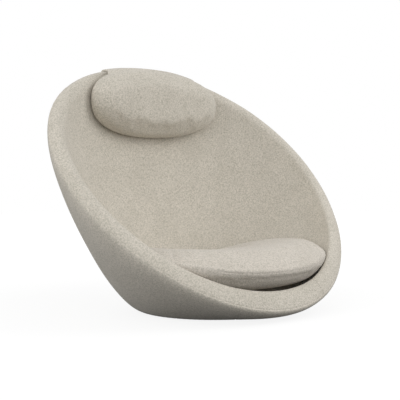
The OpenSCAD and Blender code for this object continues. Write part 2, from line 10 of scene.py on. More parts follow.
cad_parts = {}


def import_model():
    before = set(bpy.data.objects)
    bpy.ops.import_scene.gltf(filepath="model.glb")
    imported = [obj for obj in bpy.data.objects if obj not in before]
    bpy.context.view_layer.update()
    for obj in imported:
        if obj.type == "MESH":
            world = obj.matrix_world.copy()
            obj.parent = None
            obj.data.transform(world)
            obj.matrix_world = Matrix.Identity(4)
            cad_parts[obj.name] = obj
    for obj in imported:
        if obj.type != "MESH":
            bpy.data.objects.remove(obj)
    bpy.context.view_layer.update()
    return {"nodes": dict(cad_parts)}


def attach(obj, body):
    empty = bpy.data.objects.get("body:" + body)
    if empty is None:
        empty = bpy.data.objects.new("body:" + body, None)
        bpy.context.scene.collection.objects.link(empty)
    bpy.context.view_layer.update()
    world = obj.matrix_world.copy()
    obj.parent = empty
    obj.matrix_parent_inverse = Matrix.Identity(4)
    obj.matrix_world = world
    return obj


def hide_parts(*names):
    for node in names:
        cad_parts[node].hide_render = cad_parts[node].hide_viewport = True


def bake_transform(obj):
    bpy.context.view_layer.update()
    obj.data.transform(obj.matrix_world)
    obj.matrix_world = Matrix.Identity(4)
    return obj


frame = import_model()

# The pod's sizes in metres, as in the part's source
RIM_W = 0.920
RIM_L = 0.908
RIM_TILT = math.radians(46.4)
RIM_MID = np.array([0.0, 0.012, 0.363])
EGG = 0.062
FOOT_R = 0.179
TOE = 0.423
TOE_TILT = 0.08
BROW = 0.027
BROW_TILT = 0.026
BROW_ENDS = 0.008
SWELL = 0.056
ROLL_W = 0.044
ROLL_LIP = 0.011
ROLL_OUT = 0.024
ROLL_IN = 0.016
WALL_T = 0.044
LINING = 0.38
LINING_SIDE = 0.42
FLOOR_MID = np.array([0.0, -0.008, 0.074])
FLOOR_R = 0.122
COVER_T = 0.002
FRONT_A = math.radians(21.2)
HEM_R = 0.167
LIP_SHARPNESS = 6
BROW_SHARE = 0.72
CLEAR = 0.0003

# The seat cushion, which fills more of the gap round it than its solid and is rounder on top
SEAT_SEAM_Z = 0.115
SEAT_RISE = 0.052
SEAT_TILT = 0.010
SEAT_CROWN = 0.045
SEAT_LEAN = 0.030
SEAT_GAP = 0.002
SEAT_NOSE = 0.016

# How square a cushion's profile is and how it closes at its seam
SEAT_TOP = (2.7, 0.5)
SEAT_BASE = (2.0, 0.9)
SEAT_FRONT = (8.0, 0.5)
HEAD_PROFILE = (4.0, 0.5)

# The head cushion
HEAD_W = 0.464
HEAD_L = 0.200
HEAD_DROP = 0.105
HEAD_FRONT = 0.068
HEAD_BACK = 0.012
HEAD_GAP = 0.0055
HEAD_R = 0.760
OUTLINE = 2.35

# The flap, thinner than its solid, and the hem pocket behind the rim
FLAP_T = 0.005
FLAP_GAP = 0.0006
FLAP_STAND = 0.002
FLAP_DROP = 0.118
HEM_H = 0.084
HEM_T = 0.024
MAIN_STEPS = 36
FLAP_STEPS = 4
MAIN_STEP = (2 * math.pi - 2 * FRONT_A) / MAIN_STEPS
FLAP_HALF = FLAP_STEPS / 2 * MAIN_STEP
# Where the outer foam ends on the wall, and the flap leaves it
WALL_STEPS = 9
FOAM_TOP = (WALL_STEPS - 1) / WALL_STEPS

X = np.array([1.0, 0.0, 0.0])
Z = np.array([0.0, 0.0, 1.0])
SLOPE = np.array([0.0, math.cos(RIM_TILT), math.sin(RIM_TILT)])
LIFT = np.array([0.0, -math.sin(RIM_TILT), math.cos(RIM_TILT)])


def unit(v):
    return v / np.maximum(np.linalg.norm(v, axis=-1, keepdims=True), 1e-12)


def col(v):
    """Values that multiply vectors."""
    return np.asarray(v, float)[..., None]


def bezier(p, t):
    t = col(t)
    s = 1 - t
    return s**3 * p[0] + 3 * s * s * t * p[1] + 3 * s * t * t * p[2] + t**3 * p[3]


def smooth(low, high, x):
    t = np.clip((x - low) / (high - low), 0, 1)
    return t * t * (3 - 2 * t)


# The pod's section at an angle: wall (0 to 1), roll (1 to 2), lining (2 to 3)
def rim_pt(a):
    across = RIM_W / 2 * np.cos(a) * (1 + EGG * np.sin(a))
    return RIM_MID + col(across) * X + col(RIM_L / 2 * np.sin(a)) * SLOPE


def way(a):
    return np.stack([np.cos(a), np.sin(a), np.zeros_like(a)], -1)


def wall_poles(a):
    e = rim_pt(a)
    f = FOOT_R * way(a)
    s = np.sin(a)
    out = (e - f) * np.array([1.0, 1.0, 0.0])
    toe = f + col(TOE + TOE_TILT * s) * out
    brow = BROW + BROW_TILT * s + BROW_ENDS * s * s
    top = e - col(brow) * LIFT + SWELL * (e - RIM_MID)
    return [f, toe, top, e]


def lining_top(a):
    e = rim_pt(a)
    width = ROLL_W + ROLL_LIP * np.maximum(0, -np.sin(a)) ** LIP_SHARPNESS
    return e + col(width) * unit(RIM_MID - e)


def lining_slope(a):
    w = wall_poles(a)
    return unit(bezier(w, np.full_like(a, BROW_SHARE)) - w[3])


def roll_poles(a):
    w = wall_poles(a)
    i = lining_top(a)
    return [w[3], w[3] + ROLL_OUT * unit(w[3] - w[2]), i - ROLL_IN * lining_slope(a), i]


def lining_poles(a):
    i = lining_top(a)
    f = FLOOR_MID + FLOOR_R * way(a)
    w = wall_poles(a)[1]
    keeps = LINING + LINING_SIDE * np.maximum(0, -np.sin(a)) * np.cos(a) ** 2
    reach = col(keeps * np.linalg.norm(i - f, axis=-1))
    return [i, i + reach * lining_slope(a), w - WALL_T * unit(w) + FLOOR_MID[2] * Z, f]


def skin(a, u):
    """Points of the visible surface at angles and places on the section."""
    a, u = np.broadcast_arrays(np.asarray(a, float), np.asarray(u, float))
    wall = bezier(wall_poles(a), np.clip(u, 0, 1))
    roll = bezier(roll_poles(a), np.clip(u - 1, 0, 1))
    lining = bezier(lining_poles(a), np.clip(u - 2, 0, 1))
    return np.where(col(u <= 1), wall, np.where(col(u <= 2), roll, lining))


def skin_out(a, u, turn=0.006, run=0.004):
    """The way out of the skin at a point of it."""
    across = skin(a + turn, u) - skin(a - turn, u)
    along = skin(a, np.minimum(3, u + run)) - skin(a, np.maximum(0, u - run))
    return unit(np.cross(across, along))


# Slow unevenness of padding: a few fixed waves through space
WAVES = [
    ((31.0, 17.0, -23.0), 0.4),
    ((-19.0, 37.0, 29.0), 1.9),
    ((43.0, -29.0, 13.0), 3.1),
    ((11.0, 47.0, -41.0), 4.4),
]


def waves(p, pace=1.0):
    total = np.zeros(p.shape[:-1])
    for course, phase in WAVES:
        total += np.sin(p @ (pace * np.array(course)) + phase)
    return total / len(WAVES)


def mesh_piece(name, points, faces):
    """A smooth mesh object whose faces all look outward."""
    mesh = bpy.data.meshes.new(name)
    mesh.from_pydata([tuple(p) for p in points], [], faces)
    bm = bmesh.new()
    bm.from_mesh(mesh)
    bmesh.ops.recalc_face_normals(bm, faces=bm.faces)
    bm.to_mesh(mesh)
    bm.free()
    mesh.polygons.foreach_set("use_smooth", [True] * len(mesh.polygons))
    piece = bpy.data.objects.new(name, mesh)
    bpy.context.scene.collection.objects.link(piece)
    return piece


def cloth_solid(name, outside, inside):
    """A closed sheet of cloth between two grids of points."""
    rows, cols = outside.shape[:2]
    size = rows * cols
    at = np.arange(size).reshape(rows, cols)
    faces = []
    for base, flip in ((0, False), (size, True)):
        for i in range(rows - 1):
            for j in range(cols - 1):
                quad = [at[i, j], at[i, j + 1], at[i + 1, j + 1], at[i + 1, j]]
                quad = [int(k) + base for k in quad]
                faces.append(quad[::-1] if flip else quad)
    edge = list(at[0, :]) + list(at[1:, -1]) + list(at[-1, -2::-1]) + list(at[-2:0:-1, 0])
    for k, here in enumerate(edge):
        there = edge[(k + 1) % len(edge)]
        faces.append([int(there), int(here), int(here) + size, int(there) + size])
    points = np.concatenate([outside.reshape(-1, 3), inside.reshape(-1, 3)])
    return mesh_piece(name, points, faces)


# How much closer samples lie at one fine end, and their spacing where both ends are fine
CROWDING = 1.8
END_SPACING = 0.12


def spread(low, high, count, fine=()):
    """Samples that lie closer together near the ends named in fine."""
    t = np.linspace(0, 1, count)
    if "end" in fine and "start" in fine:
        t = t - (1 - END_SPACING) * np.sin(2 * math.pi * t) / (2 * math.pi)
    elif "end" in fine:
        t = 1 - (1 - t) ** CROWDING
    elif "start" in fine:
        t = t**CROWDING
    return low + (high - low) * t


# How far the cloth sinks at the pod's seams and how wide the dip is
SEAM_DEPTH = 0.0008
SEAM_WIDTH = 0.0018


def seam_dip(distance, depth=SEAM_DEPTH, width=SEAM_WIDTH):
    return depth * np.exp(-((distance / width) ** 2))


def run_lengths(grid, axis):
    """Distance along the rows or columns of a grid from its first line."""
    steps = np.linalg.norm(np.diff(grid, axis=axis), axis=-1)
    total = np.cumsum(steps, axis=axis)
    pad = [(0, 0), (0, 0)]
    pad[axis] = (1, 0)
    return np.pad(total, pad)


FRONT = (-math.pi / 2 - FRONT_A, -math.pi / 2 + FRONT_A)
MAIN = (-math.pi / 2 + FRONT_A, 1.5 * math.pi - FRONT_A)

# Puckers along the seams: depth, reach from the seam and pace along it
PUCKER = 0.0004
PUCKER_REACH = 0.012
PUCKER_PACE = 420
# Unevenness of the foam under the cover, and the height over the floor where it begins
FOAM_WAVE = 0.0005
FOAM_WAVE_FROM = 0.03
HEM_ROWS = 3


def panel_sink(base, seams):
    """How far the cover lies below its plain form; seams names the sides that are sewn."""
    across = run_lengths(base, 0)
    along = run_lengths(base, 1)
    sink = np.zeros(base.shape[:2])
    if "sides" in seams:
        sink += seam_dip(across)
        sink += seam_dip(across[-1:, :] - across)
    if "first" in seams:
        sink += seam_dip(along)
    if "last" in seams:
        sink += seam_dip(along[:, -1:] - along)
    uneven = waves(base)
    from_edge = np.minimum(along, along[:, -1:] - along)
    sink += PUCKER * np.exp(-from_edge / PUCKER_REACH) * np.sin(across * PUCKER_PACE + 2 * uneven)
    return sink - FOAM_WAVE * uneven * smooth(0.0, FOAM_WAVE_FROM, base[..., 2])


def hem_rows(angles):
    """The flat hem that the outer cover has under the foot."""
    radius = np.linspace(HEM_R, FOOT_R, HEM_ROWS + 1)[:-1]
    return way(np.repeat(angles[:, None], HEM_ROWS, 1)) * radius[None, :, None]


def panel(name, angles, runs, seams, hem=False):
    """One panel of the pod's cover, which never goes below the floor."""
    a, u = np.meshgrid(angles, runs, indexing="ij")
    base = skin(a, u)
    normal = skin_out(a, u)
    sink = panel_sink(base, seams)
    outside = base - col(sink) * normal
    inside = base - col(sink + COVER_T) * normal
    outside[..., 2] = np.maximum(outside[..., 2], 0)
    inside[..., 2] = np.maximum(inside[..., 2], COVER_T)
    if hem:
        flat = hem_rows(angles)
        outside = np.concatenate([flat, outside], 1)
        inside = np.concatenate([flat + COVER_T * Z, inside], 1)
    return cloth_solid(name, outside, inside)


def finish_piece(piece, material, slot, body, *nodes):
    """Gives a piece its material, hides the nodes that it replaces and attaches it to the body it rides
    on; slot is not used.
    """
    piece.data.materials.clear()
    piece.data.materials.append(material)
    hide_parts(*nodes)
    if body:
        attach(piece, body)
    return piece


# Materials
def nodes_of(name):
    material = bpy.data.materials.new(name)
    material.use_nodes = True
    tree = material.node_tree
    return material, tree, tree.nodes["Principled BSDF"]


def add(tree, kind, **inputs):
    """A node with its inputs, or else its properties, set."""
    node = tree.nodes.new(kind)
    for key, value in inputs.items():
        if key in node.inputs:
            node.inputs[key].default_value = value
        else:
            setattr(node, key, value)
    return node


def object_point(tree, scale=(1, 1, 1)):
    where = tree.nodes.new("ShaderNodeTexCoord")
    mapping = tree.nodes.new("ShaderNodeMapping")
    mapping.inputs["Scale"].default_value = scale
    tree.links.new(where.outputs["Object"], mapping.inputs["Vector"])
    return mapping.outputs["Vector"]


def ramp(tree, fac, *stops):
    """A run of colours over a factor, from stops of place and colour."""
    node = tree.nodes.new("ShaderNodeValToRGB")
    node.color_ramp.elements[0].position = stops[0][0]
    node.color_ramp.elements[0].color = (*stops[0][1], 1)
    node.color_ramp.elements[1].position = stops[-1][0]
    node.color_ramp.elements[1].color = (*stops[-1][1], 1)
    for position, colour in stops[1:-1]:
        element = node.color_ramp.elements.new(position)
        element.color = (*colour, 1)
    tree.links.new(fac, node.inputs["Fac"])
    return node.outputs["Color"]


def mix_colour(tree, fac, one, two, blend="MIX"):
    """Mixes two colours; each part is a socket, a colour or a number."""
    node = tree.nodes.new("ShaderNodeMix")
    node.data_type = "RGBA"
    node.blend_type = blend
    for socket, value in ((node.inputs[0], fac), (node.inputs[6], one), (node.inputs[7], two)):
        if isinstance(value, bpy.types.NodeSocket):
            tree.links.new(value, socket)
        elif isinstance(value, tuple):
            socket.default_value = (*value, 1)
        else:
            socket.default_value = value
    return node.outputs[2]


def bump(tree, shader, height, distance, strength=1.0):
    node = tree.nodes.new("ShaderNodeBump")
    node.inputs["Distance"].default_value = distance
    node.inputs["Strength"].default_value = strength
    tree.links.new(height, node.inputs["Height"])
    tree.links.new(node.outputs["Normal"], shader.inputs["Normal"])


def linear(colour):
    """A colour as it shows on screen, turned into the renderer's linear values."""
    return tuple(c / 12.92 if c <= 0.04045 else ((c + 0.055) / 1.055) ** 2.4 for c in colour)


# The cover cloth: how much darker and paler than the whole its yarns and flecks are, and how dark the
# painted shade in the gaps between loops is
DARK_YARN = (0.80, 0.81, 0.78)
PALE_YARN = (1.13, 1.12, 1.12)
WHITE = (1.0, 1.0, 1.0)
GAP_SHADE_TONE = (0.74, 0.735, 0.71)
GAP_SHADE_SHARE = 0.6
FLECK_SHARE = 0.8
DULL_CLOUD = (0.97, 0.97, 0.965)
LIGHT_CLOUD = (1.02, 1.02, 1.02)
# Sizes of the weave as scales of its textures, and the height of its loops
KNOT_SCALE = 310.0
YARN_SCALE = 240.0
FLECK_SCALE = 480.0
CLOUD_SCALE = 12.0
LOOP_HEIGHT = 0.0012
LOOP_STRENGTH = 0.55


def weave_texture(tree, kind, point, **inputs):
    node = add(tree, kind, **inputs)
    tree.links.new(point, node.inputs["Vector"])
    return node


def boucle(name, colour):
    """Nubby woven wool: loops of yarn in two tones, painted shade in the gaps between them, and a few
    pale flecks.
    """
    material, tree, shader = nodes_of(name)
    base = linear(colour)
    dark = tuple(c * t for c, t in zip(base, DARK_YARN))
    pale = tuple(min(1, c * t) for c, t in zip(base, PALE_YARN))
    fleck = (FLECK_SHARE,) * 3
    point = object_point(tree)
    knots = weave_texture(tree, "ShaderNodeTexVoronoi", point, Scale=KNOT_SCALE, Randomness=0.6)
    yarn = weave_texture(tree, "ShaderNodeTexNoise", point, Scale=YARN_SCALE, Detail=3.0, Roughness=0.6)
    flecks = weave_texture(tree, "ShaderNodeTexNoise", point, Scale=FLECK_SCALE, Detail=2.0)
    cloud = weave_texture(tree, "ShaderNodeTexNoise", point, Scale=CLOUD_SCALE, Detail=2.0)
    tone = ramp(tree, yarn.outputs["Fac"], (0.36, dark), (0.5, base), (0.64, pale))
    # Painted shade: the cloth is darkened in the gaps between the loops, away from the knots' middles
    gap_shade = ramp(tree, knots.outputs["Distance"], (0.25, WHITE), (0.72, GAP_SHADE_TONE))
    tone = mix_colour(tree, GAP_SHADE_SHARE, tone, gap_shade, "MULTIPLY")
    lint = ramp(tree, flecks.outputs["Fac"], (0.60, (0.0, 0.0, 0.0)), (0.72, fleck))
    tone = mix_colour(tree, lint, tone, pale)
    shade = ramp(tree, cloud.outputs["Fac"], (0.35, DULL_CLOUD), (0.65, LIGHT_CLOUD))
    tone = mix_colour(tree, 1.0, tone, shade, "MULTIPLY")
    tree.links.new(tone, shader.inputs["Base Color"])
    height = add(tree, "ShaderNodeMath", operation="SUBTRACT")
    tree.links.new(yarn.outputs["Fac"], height.inputs[0])
    tree.links.new(knots.outputs["Distance"], height.inputs[1])
    bump(tree, shader, height.outputs[0], LOOP_HEIGHT, LOOP_STRENGTH)
    shader.inputs["Roughness"].default_value = 0.95
    shader.inputs["Specular IOR Level"].default_value = 0.15
    shader.inputs["Sheen Weight"].default_value = 0.2
    shader.inputs["Sheen Roughness"].default_value = 0.5
    return material


def speckled(name, dark, pale, scale, rough, height, metal=0.0, stretch=(1, 1, 1)):
    """A material whose colour and surface vary in one noise."""
    material, tree, shader = nodes_of(name)
    point = object_point(tree, stretch)
    noise = add(tree, "ShaderNodeTexNoise", Scale=scale, Detail=6.0, Roughness=0.6)
    tree.links.new(point, noise.inputs["Vector"])
    tone = ramp(tree, noise.outputs["Fac"], (0.3, linear(dark)), (0.7, linear(pale)))
    tree.links.new(tone, shader.inputs["Base Color"])
    bump(tree, shader, noise.outputs["Fac"], height, 0.6)
    shader.inputs["Roughness"].default_value = rough
    shader.inputs["Metallic"].default_value = metal
    return material


COVER = boucle("boucle", (0.835, 0.810, 0.765))
COVER_SEAT = boucle("boucle_seat", (0.84, 0.812, 0.772))
SHELL = speckled("moulded_shell", (0.80, 0.79, 0.74), (0.88, 0.87, 0.83), 60.0, 0.55, 0.0002)
COAT = speckled("powder_coat", (0.10, 0.10, 0.105), (0.17, 0.17, 0.175), 900.0, 0.45, 0.0001)
ZINC = speckled("zinc", (0.55, 0.56, 0.58), (0.72, 0.73, 0.74), 380.0, 0.32, 0.00005, 1.0)
PLY = speckled("plywood", (0.66, 0.50, 0.33), (0.82, 0.68, 0.48), 9.0, 0.6, 0.0003, 0.0, (1, 9, 60))
BOARD = speckled("tack_board", (0.40, 0.30, 0.20), (0.55, 0.43, 0.30), 240.0, 0.85, 0.0004)
FELT = speckled("felt", (0.07, 0.07, 0.07), (0.16, 0.16, 0.16), 700.0, 0.95, 0.0006)
RAW = speckled("raw_steel", (0.22, 0.22, 0.23), (0.36, 0.36, 0.37), 120.0, 0.4, 0.0001, 1.0)

NODE_MATERIALS = {
    "shell": SHELL,
    "rim_tube": COAT,
    "base_plate": COAT,
    "weld_nuts": ZINC,
    "clamp_bolts": ZINC,
    "tee_nuts": ZINC,
    "seat_board": PLY,
    "tack_ring": BOARD,
    "felt_ring": FELT,
    "hem_weights": RAW,
}
for node, material in NODE_MATERIALS.items():
    mesh = frame["nodes"][node].data
    mesh.materials.clear()
    mesh.materials.append(material)


# The pod's covers, and how finely they are divided
COVER_COLUMNS = 420
FRONT_COLUMNS = 72
WALL_ROWS = 84
ROLL_ROWS = 36
LINING_ROWS = 60
cover_angles = spread(*MAIN, COVER_COLUMNS, ("start", "end"))
front_angles = spread(*FRONT, FRONT_COLUMNS, ("start", "end"))
wall_runs = spread(0.0, 1.0, WALL_ROWS, ("end",))
inner_runs = np.concatenate([
    spread(1.0, 2.0, ROLL_ROWS, ("start",)),
    spread(2.0, 3.0, LINING_ROWS)[1:],
])
outer_cover = panel("outer_cover_form", cover_angles, wall_runs, ("sides", "last"), hem=True)
finish_piece(outer_cover, COVER, "cover_side", "pod", "outer_cover", "outer_foam")
outer_front = panel("outer_front_form", front_angles, wall_runs, ("sides", "last"), hem=True)
finish_piece(outer_front, COVER, "cover_side", "pod", "outer_front_panel")
lining = panel("lining_form", cover_angles, inner_runs, ("sides", "first", "last"))
finish_piece(lining, COVER, "cover", "pod", "lining", "inner_foam")
lip = panel("lip_form", front_angles, inner_runs, ("sides", "first", "last"))
finish_piece(lip, COVER, "cover", "pod", "lip_panel")


FLOOR_COLUMNS = 96
FLOOR_ROWS = 30
FLOOR_WAVE = 0.0004
FLOOR_T = 0.8 * COVER_T


def turns_of(count):
    return np.linspace(0, 2 * math.pi, count + 1)[:-1]


def floor_form():
    """The round panel on the floor of the bowl, sunk at its sewn edge."""
    angles = turns_of(FLOOR_COLUMNS)
    radii = spread(0.0, FLOOR_R - CLEAR, FLOOR_ROWS, ("end",))[1:]
    a, r = np.meshgrid(angles, radii, indexing="ij")
    top = FLOOR_MID + col(r) * way(a)
    top = top - col(seam_dip(FLOOR_R - r)) * Z
    top[..., 2] += FLOOR_WAVE * waves(top) - FLOOR_WAVE
    points = [FLOOR_MID - FLOOR_WAVE * Z, FLOOR_MID - COVER_T * Z]
    points += list(top.reshape(-1, 3)) + list((top - FLOOR_T * Z).reshape(-1, 3))
    rows, cols = a.shape
    faces = []
    for side in (0, 1):
        base = 2 + side * rows * cols
        for i in range(rows):
            k = (i + 1) % rows
            faces.append([side, base + i * cols, base + k * cols])
            for j in range(cols - 1):
                faces.append([base + i * cols + j, base + i * cols + j + 1,
                              base + k * cols + j + 1, base + k * cols + j])
    for i in range(rows):
        k = (i + 1) % rows
        last = 2 + i * cols + cols - 1
        after = 2 + k * cols + cols - 1
        faces.append([last, last + rows * cols, after + rows * cols, after])
    return mesh_piece("floor_form", points, faces)


bowl_floor = floor_form()
finish_piece(bowl_floor, COVER, "cover", "pod", "floor_panel")


# Cushions
def shell_of_rings(name, rings, first, last):
    """A closed form from one point through rings of points to another point."""
    count, around = rings.shape[:2]
    points = [first, last] + list(rings.reshape(-1, 3))
    faces = []
    for j in range(around):
        k = (j + 1) % around
        faces.append([0, 2 + j, 2 + k])
        end = 2 + (count - 1) * around
        faces.append([1, end + k, end + j])
        for i in range(count - 1):
            here = 2 + i * around
            faces.append([here + j, here + around + j, here + around + k, here + k])
    return mesh_piece(name, points, faces)


def seam_height(a):
    return SEAT_SEAM_Z + SEAT_RISE * np.cos(a) ** 2 - SEAT_TILT * np.sin(a)


def closing(share, profile):
    """How far a cushion stands open at a share of the way from its middle to its seam."""
    square, close = profile
    return np.maximum(0, 1 - share**square) ** close


HALVINGS = 24


def lining_at(a, z):
    """The places on the lining that lie at a height."""
    low = np.full_like(a, 2.0)
    high = np.full_like(a, 3.0)
    for _ in range(HALVINGS):
        mid = (low + high) / 2
        above = skin(a, mid)[..., 2] > z
        low = np.where(above, mid, low)
        high = np.where(above, high, mid)
    return (low + high) / 2


FRONT_A0 = np.array([-math.pi / 2])
FRONT_RISE = (seam_height(FRONT_A0) - lining_top(FRONT_A0)[..., 2])[0]


def nose(a):
    """How far the seam stands over the roll's inner edge, as a share of the most that it does."""
    return np.clip((seam_height(a) - lining_top(a)[..., 2]) / FRONT_RISE, 0, 1)


def seat_edge(a):
    t = nose(a)
    p = skin(a, lining_at(a, seam_height(a))) * np.array([1.0, 1.0, 0.0])
    out = unit((p - FLOOR_MID) * np.array([1.0, 1.0, 0.0]))
    return p + col(t * (SEAT_NOSE + SEAT_GAP) - SEAT_GAP) * out


def seat_at(share, edge, level):
    middle = FLOOR_MID * np.array([1.0, 1.0, 0.0])
    return middle + share * (edge - middle) + col(level) * Z


def seat_top(a, share, edge):
    crown = SEAT_CROWN - SEAT_LEAN * share * np.sin(a)
    level = SEAT_SEAM_Z + (seam_height(a) - SEAT_SEAM_Z) * share**2 + crown * closing(share, SEAT_TOP)
    return seat_at(share, edge, level)


def seat_base(a, share, edge):
    front = np.maximum(0, -np.sin(a)) ** 2
    profile = [low + (high - low) * front for low, high in zip(SEAT_BASE, SEAT_FRONT)]
    drop = seam_height(a) - FLOOR_MID[2] - CLEAR
    return seat_at(share, edge, seam_height(a) - drop * closing(share, profile))


def seat_rings(around=260, steps=56):
    """Rings from the middle of the base to the seam and on to the middle of the top."""
    a = turns_of(around)
    edge = seat_edge(a)
    shares = np.sin(spread(0.0, math.pi / 2, steps, ("end",)))
    below = [seat_base(a, t, edge) for t in shares[1:-1]]
    seam = seat_at(1.0, edge, seam_height(a))
    above = [seat_top(a, t, edge) for t in shares[-2:0:-1]]
    return np.array(below + [seam] + above), seam


def seat_form():
    rings, seam = seat_rings()
    bottom = FLOOR_MID + CLEAR * Z
    top = np.array([0.0, FLOOR_MID[1], SEAT_SEAM_Z + SEAT_CROWN])
    return shell_of_rings("seat_cushion_form", rings, bottom, top), seam


def head_edge(a):
    """The head cushion's outline across and up from its middle."""
    c = np.cos(a)
    s = np.sin(a)
    return np.stack([
        HEAD_W / 2 * np.sign(c) * np.abs(c) ** (2 / OUTLINE),
        HEAD_L / 2 * np.sign(s) * np.abs(s) ** (2 / OUTLINE),
    ], -1)


BACK_A = np.array([math.pi / 2])
HEAD_Z = rim_pt(BACK_A)[0, 2] - HEAD_DROP
HEAD_Y = skin(BACK_A, lining_at(BACK_A, HEAD_Z))[0, 1] - HEAD_GAP
HEAD_SEAM_Y = HEAD_Y - HEAD_BACK


def head_depth(x, share, full):
    """How far behind the middle of the foot the head cushion lies at a share of its outline."""
    return HEAD_SEAM_Y - x**2 / (2 * HEAD_R) + full * closing(share, HEAD_PROFILE)


def head_rings(around=200, steps=40):
    """Rings from the middle of the back to the seam and on to the middle of the front."""
    a = turns_of(around)
    edge = head_edge(a)
    shares = np.sin(spread(0.0, math.pi / 2, steps, ("end",)))[1:]

    def ring(full, share):
        e = share * edge
        return np.stack([e[:, 0], head_depth(e[:, 0], share, full), HEAD_Z + e[:, 1]], -1)

    back = [ring(HEAD_BACK, t) for t in shares]
    front = [ring(-HEAD_FRONT, t) for t in shares[-2::-1]]
    return np.array(back + front), back[-1]


def head_form():
    rings, seam = head_rings()
    first = np.array([0.0, HEAD_SEAM_Y + HEAD_BACK, HEAD_Z])
    last = np.array([0.0, HEAD_SEAM_Y - HEAD_FRONT, HEAD_Z])
    return shell_of_rings("head_cushion_form", rings, first, last), seam


# The cushions swell as cloth: a remeshed copy is simulated with its seam held,
# and the cushion follows it where its mask lets it, no further than a cap.
VOXEL = 0.006
PRESSURE = 4.0
SPARE_CLOTH = 0.03
CLOTH_QUALITY = 5
LAST_FRAME = 20
HELD_NEAR = 0.004
SWELL_CAP = 0.005
FREE_OF_SEAM = 0.02
NEIGHBOURS = 4


def vertex_array(mesh, what="co"):
    values = np.empty(3 * len(mesh.vertices))
    mesh.vertices.foreach_get(what, values)
    return values.reshape(-1, 3)


def tree_of(points):
    tree = KDTree(len(points))
    for k, p in enumerate(points):
        tree.insert(Vector(p), k)
    tree.balance()
    return tree


def distances(points, line, cuts=4):
    """Distance of each point to a closed line, each stretch of which is cut into a few."""
    onward = np.roll(line, -1, 0) - line
    there = np.concatenate([line + k / cuts * onward for k in range(cuts)])
    tree = tree_of(there)
    return np.array([tree.find(Vector(p))[2] for p in points])


def evaluated_mesh(piece):
    graph = bpy.context.evaluated_depsgraph_get()
    return bpy.data.meshes.new_from_object(piece.evaluated_get(graph))


def remeshed_copy(piece):
    trial = piece.copy()
    trial.data = piece.data.copy()
    bpy.context.scene.collection.objects.link(trial)
    even = trial.modifiers.new("even", "REMESH")
    even.mode = "VOXEL"
    even.voxel_size = VOXEL
    mesh = evaluated_mesh(trial)
    trial.modifiers.clear()
    trial.data = mesh
    return trial


def blow_up(trial, seam):
    """Where the copy's points are before and after the cloth has swollen."""
    before = vertex_array(trial.data)
    held = np.nonzero(distances(before, seam) < HELD_NEAR)[0]
    group = trial.vertex_groups.new(name="seam")
    group.add([int(k) for k in held], 1.0, "REPLACE")
    cloth = trial.modifiers.new("swell", "CLOTH")
    cloth.settings.quality = CLOTH_QUALITY
    cloth.settings.vertex_group_mass = "seam"
    cloth.settings.use_pressure = True
    cloth.settings.uniform_pressure_force = PRESSURE
    cloth.settings.shrink_min = -SPARE_CLOTH
    cloth.settings.effector_weights.gravity = 0
    cloth.point_cache.frame_start = 1
    cloth.point_cache.frame_end = LAST_FRAME
    for moment in range(1, LAST_FRAME + 1):
        bpy.context.scene.frame_set(moment)
    after = vertex_array(evaluated_mesh(trial))
    bpy.context.scene.frame_set(1)
    return before, after


def swell(piece, seam, mask):
    """Lets a cushion follow its swollen copy away from its seam."""
    trial = remeshed_copy(piece)
    before, after = blow_up(trial, seam)
    move = after - before
    length = np.linalg.norm(move, axis=1, keepdims=True)
    move *= np.minimum(1, SWELL_CAP / np.maximum(length, 1e-9))
    tree = tree_of(before)
    points = vertex_array(piece.data)
    share = mask(points) * smooth(0, FREE_OF_SEAM, distances(points, seam))
    for k in np.nonzero(share > 0)[0]:
        near = tree.find_n(Vector(points[k]), NEIGHBOURS)
        weights = np.array([1 / (found[2] + 0.001) for found in near])
        points[k] += share[k] * weights @ move[[found[1] for found in near]] / weights.sum()
    piece.data.vertices.foreach_set("co", points.ravel())
    piece.data.update()
    bpy.data.objects.remove(trial)


# Short wrinkles under the seat cushion's front seam: the angle of the middle,
# the half angle, how far below the seam they lie and how deep they are
WRINKLES = [
    (-123.0, 8.0, 0.006, 0.0008),
    (-126.0, 6.0, 0.014, 0.0007),
    (-117.0, 7.0, 0.012, 0.0008),
    (-100.0, 9.0, 0.005, 0.0005),
    (-96.0, 8.0, 0.011, 0.0004),
]
WRINKLE_WIDTH = 0.0024
WRINKLE_SLANT = 0.002
WRINKLE_REACH = 0.03
CUSHION_WAVE = 0.0006
CUSHION_PACE = 1.3


def angle_of(points):
    return np.arctan2(points[:, 1] - FLOOR_MID[1], points[:, 0])


def wrinkled(points, seam):
    """Depth of the wrinkles at points of the seat cushion."""
    a = angle_of(points)
    below = seam_height(a) - points[:, 2]
    depth = np.zeros(len(points))
    for middle, half, drop, deep in WRINKLES:
        along = (np.degrees(a) - middle) / half
        sag = drop + WRINKLE_SLANT * along
        across = (below - sag) / WRINKLE_WIDTH
        depth += deep * np.exp(-(along**4)) * np.exp(-(across**2))
    return np.where(distances(points, seam) < WRINKLE_REACH, depth, 0)


def sew(piece, seam, depth, width, extra=None):
    """Draws the seam in, and any wrinkles beside it, and makes the padding uneven."""
    points = vertex_array(piece.data)
    normals = vertex_array(piece.data, "normal")
    sink = seam_dip(distances(points, seam), depth, width)
    if extra is not None:
        sink = sink + extra(points, seam)
    sink = sink - CUSHION_WAVE * waves(points, CUSHION_PACE)
    points -= col(sink) * normals
    piece.data.vertices.foreach_set("co", points.ravel())
    piece.data.update()


# Where the cushions may swell: the seat cushion above this height over its seam, and at
# these shares of the way round to the front and these depths below the seam; the head
# cushion at these distances in front of its seam
FREE_ABOVE = 0.004
FREE_ROUND = (0.55, 0.9)
FREE_BELOW = (0.05, 0.03)
FREE_BEFORE = (0.03, 0.06)


def free_of_bowl(points):
    """The seat cushion may swell on top and at its front, not where it lies in the bowl."""
    a = angle_of(points)
    over_seam = points[:, 2] - seam_height(a)
    front = smooth(*FREE_ROUND, -np.sin(a)) * smooth(*FREE_BELOW, -over_seam)
    return np.maximum(smooth(0, FREE_ABOVE, over_seam), front)


